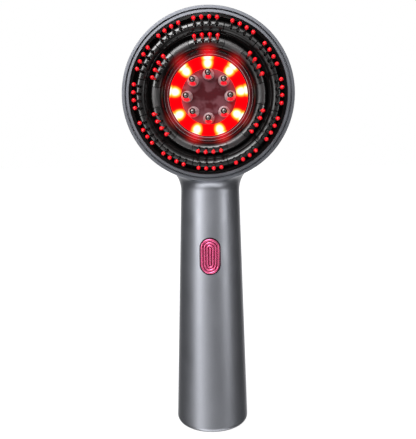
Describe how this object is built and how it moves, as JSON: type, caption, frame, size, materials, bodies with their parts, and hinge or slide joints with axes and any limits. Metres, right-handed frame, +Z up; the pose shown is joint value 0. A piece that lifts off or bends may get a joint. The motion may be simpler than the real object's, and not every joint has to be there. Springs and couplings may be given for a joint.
{
  "type": "scalp massager",
  "caption": "Handheld scalp massager: round comb head with rings of ball-tipped bristles, a lit centre with oil-feeding ball pins, and a tapered handle with a push button.",
  "frame": {"origin": "on the flat foot of the handle, under the handle's axis", "axes": "+Z up along the handle towards the head, -Y to the front where the bristles are, +X to the right as seen from the front"},
  "size_m": [0.0834, 0.049, 0.2164],
  "materials": {
    "satin_grey_paint": "satin metallic paint",
    "black_gloss_plastic": "glossy",
    "red_tip_plastic": "glossy",
    "smoked_red_plastic": "smoked, translucent",
    "lit_light_guide": "lit diffuser",
    "clear_plastic": "clear",
    "polished_steel": "polished",
    "spring_steel": "plain",
    "reservoir_plastic": "frosted",
    "seal_rubber": "matte",
    "led_package": "lit",
    "circuit_board": "solder mask",
    "carrier_plastic": "matte",
    "fuchsia_paint": "metallic paint",
    "switch_plastic": "matte",
    "cell_wrap": "plastic wrap",
    "motor_steel": "plated",
    "weight_brass": "plain",
    "lead_insulation": "smooth"
  },
  "bodies": {
    "housing": {"front_housing": "satin_grey_paint", "rear_housing": "satin_grey_paint", "base_cap": "satin_grey_paint", "housing_screws": "spring_steel", "board_screws": "spring_steel", "motor_strap": "spring_steel", "charge_socket": "spring_steel", "led_chips": "led_package", "led_board": "circuit_board", "main_board": "circuit_board", "charge_board": "circuit_board", "head_chassis": "carrier_plastic", "handle_chassis": "carrier_plastic", "tact_switch": "switch_plastic", "battery_cell": "cell_wrap", "motor_can": "motor_steel", "battery_leads": "lead_insulation", "motor_leads": "lead_insulation", "led_leads": "lead_insulation"},
    "comb_head": {"comb_bezel": "satin_grey_paint", "comb_tray": "black_gloss_plastic", "outer_bristle_row_01": "black_gloss_plastic", "outer_bristle_row_02": "black_gloss_plastic", "outer_bristle_row_03": "black_gloss_plastic", "outer_bristle_row_04": "black_gloss_plastic", "outer_bristle_row_05": "black_gloss_plastic", "outer_bristle_row_06": "black_gloss_plastic", "outer_bristle_row_07": "black_gloss_plastic", "outer_bristle_row_08": "black_gloss_plastic", "outer_bristle_row_09": "black_gloss_plastic", "outer_bristle_row_10": "black_gloss_plastic", "outer_bristle_row_11": "black_gloss_plastic", "outer_bristle_row_12": "black_gloss_plastic", "inner_bristle_row_1": "black_gloss_plastic", "inner_bristle_row_2": "black_gloss_plastic", "inner_bristle_row_3": "black_gloss_plastic", "inner_bristle_row_4": "black_gloss_plastic", "inner_bristle_row_5": "black_gloss_plastic", "inner_bristle_row_6": "black_gloss_plastic", "outer_bristle_tips": "red_tip_plastic", "inner_bristle_tips": "red_tip_plastic", "light_collar": "smoked_red_plastic", "light_guide_ring": "lit_light_guide", "nozzle_plate": "clear_plastic", "pin_springs": "spring_steel", "spring_plate": "reservoir_plastic", "oil_reservoir": "reservoir_plastic", "reservoir_plug": "seal_rubber", "comb_head_seal": "seal_rubber"},
    "ball_pin_1": {"ball_pin_1": "polished_steel"},
    "ball_pin_2": {"ball_pin_2": "polished_steel"},
    "ball_pin_3": {"ball_pin_3": "polished_steel"},
    "ball_pin_4": {"ball_pin_4": "polished_steel"},
    "ball_pin_5": {"ball_pin_5": "polished_steel"},
    "ball_pin_6": {"ball_pin_6": "polished_steel"},
    "ball_pin_7": {"ball_pin_7": "polished_steel"},
    "ball_pin_8": {"ball_pin_8": "polished_steel"},
    "power_button": {"power_button": "fuchsia_paint"},
    "motor_rotor": {"eccentric_weight": "weight_brass"}
  },
  "joints": [
    {"name": "comb_head_release", "type": "slide", "parent": "housing", "child": "comb_head", "axis": [0, -1, 0], "range_m": [0, 0.04]},
    {"name": "ball_pin_1_press", "type": "slide", "parent": "comb_head", "child": "ball_pin_1", "axis": [0, 1, 0], "range_m": [0, 0.0008], "stiffness_N_per_m": 250, "springref_m": -0.001},
    {"name": "ball_pin_2_press", "type": "slide", "parent": "comb_head", "child": "ball_pin_2", "axis": [0, 1, 0], "range_m": [0, 0.0008], "stiffness_N_per_m": 250, "springref_m": -0.001},
    {"name": "ball_pin_3_press", "type": "slide", "parent": "comb_head", "child": "ball_pin_3", "axis": [0, 1, 0], "range_m": [0, 0.0008], "stiffness_N_per_m": 250, "springref_m": -0.001},
    {"name": "ball_pin_4_press", "type": "slide", "parent": "comb_head", "child": "ball_pin_4", "axis": [0, 1, 0], "range_m": [0, 0.0008], "stiffness_N_per_m": 250, "springref_m": -0.001},
    {"name": "ball_pin_5_press", "type": "slide", "parent": "comb_head", "child": "ball_pin_5", "axis": [0, 1, 0], "range_m": [0, 0.0008], "stiffness_N_per_m": 250, "springref_m": -0.001},
    {"name": "ball_pin_6_press", "type": "slide", "parent": "comb_head", "child": "ball_pin_6", "axis": [0, 1, 0], "range_m": [0, 0.0008], "stiffness_N_per_m": 250, "springref_m": -0.001},
    {"name": "ball_pin_7_press", "type": "slide", "parent": "comb_head", "child": "ball_pin_7", "axis": [0, 1, 0], "range_m": [0, 0.0008], "stiffness_N_per_m": 250, "springref_m": -0.001},
    {"name": "ball_pin_8_press", "type": "slide", "parent": "comb_head", "child": "ball_pin_8", "axis": [0, 1, 0], "range_m": [0, 0.0008], "stiffness_N_per_m": 250, "springref_m": -0.001},
    {"name": "power_button_press", "type": "slide", "parent": "housing", "child": "power_button", "axis": [0, 1, 0], "range_m": [0, 0.0006], "stiffness_N_per_m": 1500, "springref_m": -0.0008},
    {"name": "motor_spin", "type": "hinge", "parent": "housing", "child": "motor_rotor", "pos_m": [0, 0.0035, 0], "axis": [0, 0, 1], "continuous": true}
  ]
}
